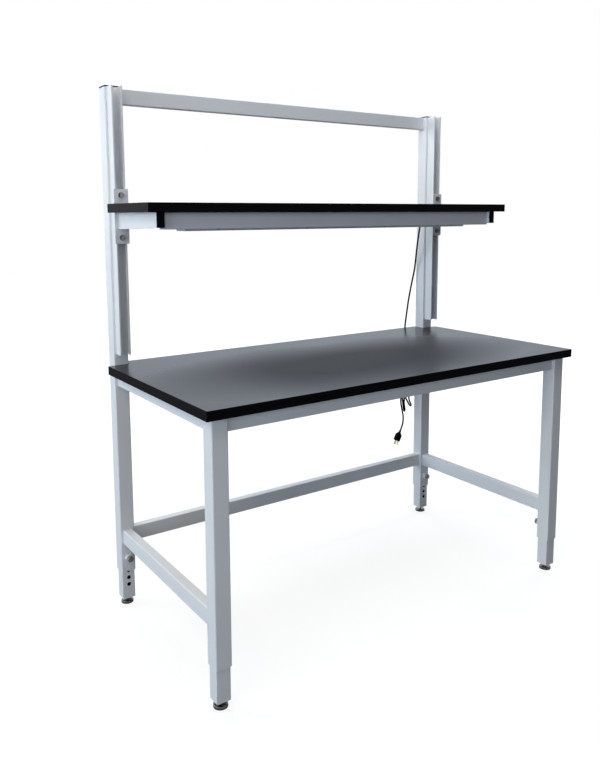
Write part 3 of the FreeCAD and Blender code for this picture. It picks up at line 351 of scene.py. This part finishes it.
def edge_band(name):
    """Near-black edging with faint upright streaks."""
    s = Shader(name)
    streak = s.noise(40.0, 3.0, stretch=(0.3, 0.3, 12.0))
    color = s.ramp(streak, (0.3, (0.0025, 0.0025, 0.0030)), (0.7, (0.0045, 0.0045, 0.0050)))
    s.set(Specular_IOR_Level=0.04)
    return s.finish(color, s.span(streak, 0.38, 0.48), s.bump(s.noise(500.0, 2.0), 0.10, 0.0002))


def moulded(name, dark, light, roughness=(0.42, 0.55), grain=1200.0, gloss=0.4):
    """Moulded plastic or rubber with a fine grain."""
    s = Shader(name)
    s.set(Specular_IOR_Level=gloss)
    fine = s.noise(grain, 3.0)
    color = s.ramp(s.noise(60.0, 3.0), (0.3, dark), (0.7, light))
    return s.finish(color, s.span(fine, *roughness), s.bump(fine, 0.15, 0.0002))


def plated(name, dark, light, roughness, streaks):
    """Plated or bare metal with fine turning marks."""
    s = Shader(name)
    mark = s.noise(260.0, 3.0, stretch=streaks)
    color = s.ramp(s.noise(90.0, 3.0), (0.3, dark), (0.7, light))
    s.set(Metallic=1.0)
    return s.finish(color, s.span(mark, *roughness), s.bump(mark, 0.06, 0.0002))


def opal(name):
    """Milky plastic with faint ribs along the light."""
    s = Shader(name)
    color = s.ramp(s.noise(20.0, 2.0), (0.3, (0.74, 0.74, 0.73)), (0.7, (0.80, 0.80, 0.79)))
    ribs = s.noise(30.0, 1.0, stretch=(0.2, 25.0, 25.0))
    s.set(Subsurface_Weight=0.15, Subsurface_Scale=0.01)
    return s.finish(color, s.span(ribs, 0.22, 0.30), s.bump(ribs, 0.08, 0.0003))


MATERIALS = {
    "white_coat": powder_coat("white_powder_coat", *WHITE_COAT),
    # The inner legs' coat: bare steel inside, painted near-black as painted shade.
    "inner_leg_coat": powder_coat("inner_leg_coat", *WHITE_COAT, shaded_bare_inside=True),
    "board_laminate": laminate("black_laminate"),
    "edge_band": edge_band("black_edge_band"),
    "black_plastic": moulded("black_plastic", (0.003, 0.003, 0.004), (0.006, 0.006, 0.007),
                             gloss=0.04),
    "zinc_steel": plated("zinc_plate", (0.30, 0.30, 0.29), (0.44, 0.44, 0.42),
                         (0.22, 0.34), (1, 1, 8)),
    "dark_chrome": plated("dark_chrome", (0.22, 0.22, 0.23), (0.34, 0.33, 0.33),
                          (0.12, 0.22), (1, 1, 10)),
    "light_paint": powder_coat("light_enamel", (0.76, 0.78, 0.80), (0.72, 0.74, 0.77)),
    "light_end_plastic": moulded("light_end_plastic", (0.70, 0.72, 0.74), (0.76, 0.77, 0.79)),
    "opal_plastic": opal("opal_diffuser"),
    "light_board": moulded("light_board_mask", (0.78, 0.78, 0.78), (0.84, 0.84, 0.84)),
    "driver_case": moulded("driver_case", (0.70, 0.70, 0.70), (0.78, 0.78, 0.78)),
    "cord_rubber": moulded("cord_rubber", (0.004, 0.004, 0.005), (0.008, 0.008, 0.009),
                           (0.62, 0.74), grain=900.0, gloss=0.02),
    "blade_brass": plated("blade_brass", (0.55, 0.42, 0.22), (0.75, 0.60, 0.34),
                          (0.22, 0.34), (8, 1, 1)),
}


def dress(obj, slot):
    obj.data.materials.clear()
    obj.data.materials.append(MATERIALS[slot])


for row in frame["record"]["subparts"]:
    # The inner legs get the coat whose insides are bare steel painted near-black as painted shade.
    shaded_bare_inside = row["node"].startswith("inner_leg")
    dress(nodes[row["node"]], "inner_leg_coat" if shaded_bare_inside else row["material_slot"])
dress(cord, "cord_rubber")


# ------------------------------------------------------------- weld beads

BEAD_RADIUS = 0.0016
BEAD_STEP = 0.0006          # along the bead, from ring to ring
BEAD_RIPPLE = 0.0024        # one puddle of the weld
BEAD_SIDES = 8
BEAD_CORNER = 0.003         # radius of a rail's corner
BEAD_SWELL = (0.92, 0.12)   # share of the radius, and how far the ripple moves it
BEAD_TIP = (0.35, 0.15)     # share of the radius at a tip, and what each ring inward adds

# Bottom and top of each stitch between a channel and its post.
STITCH_HEIGHTS = [(0.932, 0.966), (1.182, 1.195), (1.457, 1.491), (1.504, 1.542), (1.728, 1.764)]

# Rails whose ends meet the legs' sides, and whether their end's top side has no bead.
CROSS_RAILS = [("front_apron", True), ("rear_top_rail", True), ("back_stretcher", False),
               ("crossbar", True)]
SIDE_RAILS = [("side_top_rail_", True), ("side_stretcher_", False)]


def end_loop(node, axis, plane, open_top):
    """The outline of a rail's end on a plane across the axis, with or without its top side."""
    low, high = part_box(node)
    across = 1 - axis
    left, right, bottom, top = low[across], high[across], low.z, high.z
    corners = [(left, bottom, 180), (right, bottom, 270)]
    if not open_top:
        corners += [(right, top, 0), (left, top, 90)]
    flat = []
    for a, z, first in corners:
        a_mid = a + (BEAD_CORNER if a == left else -BEAD_CORNER)
        z_mid = z + (BEAD_CORNER if z == bottom else -BEAD_CORNER)
        for turn in (0, 30, 60, 90):
            angle = math.radians(first + turn)
            flat.append((a_mid + BEAD_CORNER * math.cos(angle),
                         z_mid + BEAD_CORNER * math.sin(angle)))
    if open_top:
        flat = [(left, top), *flat, (right, top)]
    else:
        flat.append(flat[0])
    if axis == 0:
        return [Vector((plane, a, z)) for a, z in flat]
    return [Vector((a, plane, z)) for a, z in flat]


def evenly(points, step):
    """Points on the line through the given ones, about the given step apart."""
    spots = []
    for first, second in zip(points, points[1:]):
        count = max(1, round((second - first).length / step))
        spots += [first.lerp(second, k / count) for k in range(count)]
    return spots + [points[-1]]


def bead_radius(k, last):
    """A bead's radius at its ring k: rippled, and tapered toward both tips."""
    mean, swing = BEAD_SWELL
    tip, growth = BEAD_TIP
    travelled = k * BEAD_STEP / BEAD_RIPPLE
    radius = BEAD_RADIUS * (mean + swing * math.cos(2 * math.pi * travelled))
    return radius * min(1.0, tip + growth * k, tip + growth * (last - k))


def bead_ring(bm, spot, way, radius):
    """The corners of a bead's section, square to its way."""
    side = way.orthogonal().normalized()
    up = way.cross(side)
    ring = []
    for j in range(BEAD_SIDES):
        angle = 2 * math.pi * j / BEAD_SIDES
        ring.append(bm.verts.new(spot + radius * (math.cos(angle) * side + math.sin(angle) * up)))
    return ring


def lay_bead(bm, points):
    """A bead of weld metal along a line."""
    spots = evenly(points, BEAD_STEP)
    last = len(spots) - 1
    before = None
    for k, spot in enumerate(spots):
        way = (spots[min(k + 1, last)] - spots[max(k - 1, 0)]).normalized()
        ring = bead_ring(bm, spot, way, bead_radius(k, last))
        if before:
            # The ring's own start may turn from one spot to the next: join the nearest corners.
            shift = min(range(BEAD_SIDES), key=lambda n: (ring[n].co - before[0].co).length)
            ring = ring[shift:] + ring[:shift]
            for j in range(BEAD_SIDES):
                after = (j + 1) % BEAD_SIDES
                bm.faces.new((before[j], before[after], ring[after], ring[j]))
        else:
            bm.faces.new(reversed(ring))
        before = ring
    bm.faces.new(before)


def bead_lines():
    """Where the frame's rails meet its legs, and the channels' stitches."""
    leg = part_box("front_leg_right")[0].x
    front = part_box("front_leg_right")[1].y
    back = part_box("rear_upright_right")[0].y
    lines = []
    for node, open_top in CROSS_RAILS:
        lines += [end_loop(node, 0, plane, open_top) for plane in (-leg, leg)]
    for side in ("left", "right"):
        for stem, open_top in SIDE_RAILS:
            lines += [end_loop(stem + side, 1, plane, open_top) for plane in (front, back)]
        low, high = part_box("channel_" + side)
        for x in (low.x, high.x):
            for bottom, top in STITCH_HEIGHTS:
                lines.append([Vector((x, back, bottom)), Vector((x, back, top))])
    return lines


def make_beads():
    bm = bmesh.new()
    for line in bead_lines():
        lay_bead(bm, line)
    bmesh.ops.recalc_face_normals(bm, faces=bm.faces)
    for face in bm.faces:
        face.smooth = True
    mesh = bpy.data.meshes.new("weld_beads")
    bm.to_mesh(mesh)
    bm.free()
    beads = put("weld_beads", mesh)
    dress(beads, "white_coat")
    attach(beads, "frame")


make_beads()


# ------------------------------------------------------------ broken edges

# Node, and how far its sharp edges are rounded.
BROKEN_EDGES = [
    ("worktop_edge_band", 0.0010), ("shelf_edge_band", 0.0010),
    ("bracket_plate_left", 0.0009), ("bracket_plate_right", 0.0009),
    ("bracket_bolts", 0.0009), ("height_bolts", 0.0011), ("height_nuts", 0.0014),
    ("arm_caps", 0.0012), ("light_end_caps", 0.0012), ("light_housing", 0.0006),
    ("shelf_arm_left", 0.0006), ("shelf_arm_right", 0.0006),
    ("plug_prongs", 0.0004),
]
SHARP_ANGLE = 40            # degrees
SAME_PLACE = 0.00002        # corners this close are joined before the edges are rounded


def break_edges(obj, width):
    """Round an object's sharp edges without a change to its mesh."""
    weld = obj.modifiers.new("weld", "WELD")
    weld.merge_threshold = SAME_PLACE
    bevel = obj.modifiers.new("bevel", "BEVEL")
    bevel.width = width
    bevel.segments = 2
    bevel.limit_method = "ANGLE"
    bevel.angle_limit = math.radians(SHARP_ANGLE)
    bevel.use_clamp_overlap = True
    bevel.harden_normals = True


for name, width in BROKEN_EDGES:
    break_edges(nodes[name], width)


# --------------------------------------------------------- floor and lights

WHITE = (1.0, 1.0, 1.0)
AMBIENT = (0.004, 0.0045, 0.005)

# What the bench mirrors.  Each edge is where one part of the room passes into the next.
ROOM_BEHIND = (0.85, 0.93, 1.04)
ROOM_BEHIND_WAY = (-0.35, 0.75, 0.35)
ROOM_BEHIND_EDGE = (-0.35, 0.45)
ROOM_IN_FRONT = (0.05, 0.05, 0.055)
LAMP_IN_FRONT = (0.80, 0.82, 0.84)
LAMP_PATCH_SCALE = 2.6
LAMP_PATCH_EDGE = (0.52, 0.60)
LAMP_ON_LEFT = (1.9, 1.9, 1.9)
LAMP_ON_LEFT_WAY = (-0.60, 0.75, -0.12)
LAMP_ON_LEFT_EDGE = (0.90, 0.97)

FLOOR_HALF = 9.0
FLOOR_GLOW = 0.83           # straight to the camera, under the bench
FLOOR_FADE = (1.2, 3.2)     # from here to here the glow rises to white
FLOOR_MIRRORED = 0.06

# Name, place, point it faces, width and height, watts, colour.
LIGHTS = [
    ("key_high", (-3.4, -1.5, 4.2), (0.0, 0.2, 1.0), (2.2, 2.2), 48.0, (1.0, 0.83, 0.58)),
    ("overhead", (0.0, -0.2, 4.2), (0.0, 0.2, 1.0), (3.0, 3.0), 97.0, (0.83, 0.90, 1.0)),
    ("back_left", (-3.0, 3.0, 2.4), (0.0, 0.2, 1.0), (2.5, 2.5), 88.0, (0.90, 0.97, 1.0)),
    ("front_left", (-2.6, -3.4, 1.9), (0.0, 0.2, 1.0), (2.4, 2.0), 33.5, (0.80, 0.87, 1.0)),
    ("left_far", (-7.0, -1.5, 1.6), (0.0, 0.2, 1.0), (4.0, 3.0), 182.0, (0.62, 0.79, 1.0)),
    ("behind", (0.6, 4.2, 2.8), (0.0, 0.3, 0.6), (3.0, 2.0), 80.0, (0.96, 0.98, 1.0)),
    ("right_fill", (4.6, 1.2, 2.0), (0.0, 0.3, 0.9), (2.5, 2.5), 95.0, (0.94, 0.97, 1.0)),
]


def mirrored_room(tree):
    """White behind the bench, dim with patches of lamp in front, and a lamp on the left."""
    way = tree.nodes.new("ShaderNodeTexCoord").outputs["Generated"]
    patches = tree.nodes.new("ShaderNodeTexNoise")
    patches.inputs["Scale"].default_value = LAMP_PATCH_SCALE
    patches.inputs["Detail"].default_value = 1.0
    tree.links.new(way, patches.inputs["Vector"])
    lit_patch = smooth_step(tree, patches.outputs["Fac"], *LAMP_PATCH_EDGE)
    in_front = blend_colors(tree, lit_patch, ROOM_IN_FRONT, LAMP_IN_FRONT)
    behind = smooth_step(tree, toward(tree, way, ROOM_BEHIND_WAY), *ROOM_BEHIND_EDGE)
    room = blend_colors(tree, behind, in_front, ROOM_BEHIND)
    on_lamp = smooth_step(tree, toward(tree, way, LAMP_ON_LEFT_WAY), *LAMP_ON_LEFT_EDGE)
    return blend_colors(tree, on_lamp, room, LAMP_ON_LEFT)


def make_world():
    """A plain studio: white to the camera and through clear things, and a room in reflections."""
    world = bpy.data.worlds.new("studio")
    bpy.context.scene.world = world
    world.use_nodes = True
    tree = world.node_tree
    path = tree.nodes.new("ShaderNodeLightPath")
    lit = blend_colors(tree, path.outputs["Is Glossy Ray"], AMBIENT, mirrored_room(tree))
    clear = blend_colors(tree, path.outputs["Is Transmission Ray"], lit, WHITE)
    shown = blend_colors(tree, path.outputs["Is Camera Ray"], clear, WHITE)
    tree.links.new(shown, tree.nodes["Background"].inputs["Color"])


def make_floor():
    """A pale floor that looks white to the camera and keeps the bench's shadow."""
    mesh = bpy.data.meshes.new("floor")
    corners = [(x * FLOOR_HALF, y * FLOOR_HALF, 0) for x, y in ((-1, -1), (1, -1), (1, 1), (-1, 1))]
    mesh.from_pydata(corners, [], [(0, 1, 2, 3)])
    floor = put("floor", mesh)
    s = Shader("pale_floor")
    color = s.ramp(s.noise(2.0, 3.0), (0.3, (0.19, 0.19, 0.19)), (0.7, (0.22, 0.22, 0.22)))
    s.finish(color, s.span(s.noise(30.0), 0.75, 0.85))
    path = s.add("ShaderNodeLightPath")
    away = s.add("ShaderNodeVectorMath", operation="LENGTH")
    s.wire(s.place, away.inputs[0])
    white = s.span(away.outputs["Value"], FLOOR_GLOW, 1.0, *FLOOR_FADE)
    mirrored = s.math("MULTIPLY", path.outputs["Is Glossy Ray"], FLOOR_MIRRORED)
    straight = s.math("MULTIPLY", path.outputs["Is Camera Ray"], white)
    glow = s.add("ShaderNodeEmission")
    s.wire(s.math("ADD", mirrored, straight), glow.inputs["Strength"])
    both = s.add("ShaderNodeAddShader")
    s.wire(s.principled.outputs["BSDF"], both.inputs[0])
    s.wire(glow.outputs["Emission"], both.inputs[1])
    s.wire(both.outputs["Shader"], s.tree.nodes["Material Output"].inputs["Surface"])
    mesh.materials.append(s.material)


def area_light(name, spot, aim, size, power, tint):
    """A soft lamp that neither the camera nor a reflection sees."""
    data = bpy.data.lights.new(name, "AREA")
    data.shape = "RECTANGLE"
    data.size, data.size_y = size
    data.energy = power
    data.color = tint
    lamp = put(name, data)
    lamp.location = spot
    lamp.rotation_euler = (Vector(aim) - Vector(spot)).to_track_quat("-Z", "Y").to_euler()
    lamp.visible_camera = False
    lamp.visible_glossy = False


make_world()
make_floor()
for row in LIGHTS:
    area_light(*row)

bpy.context.scene.view_settings.view_transform = "Standard"

bpy.context.view_layer.update()
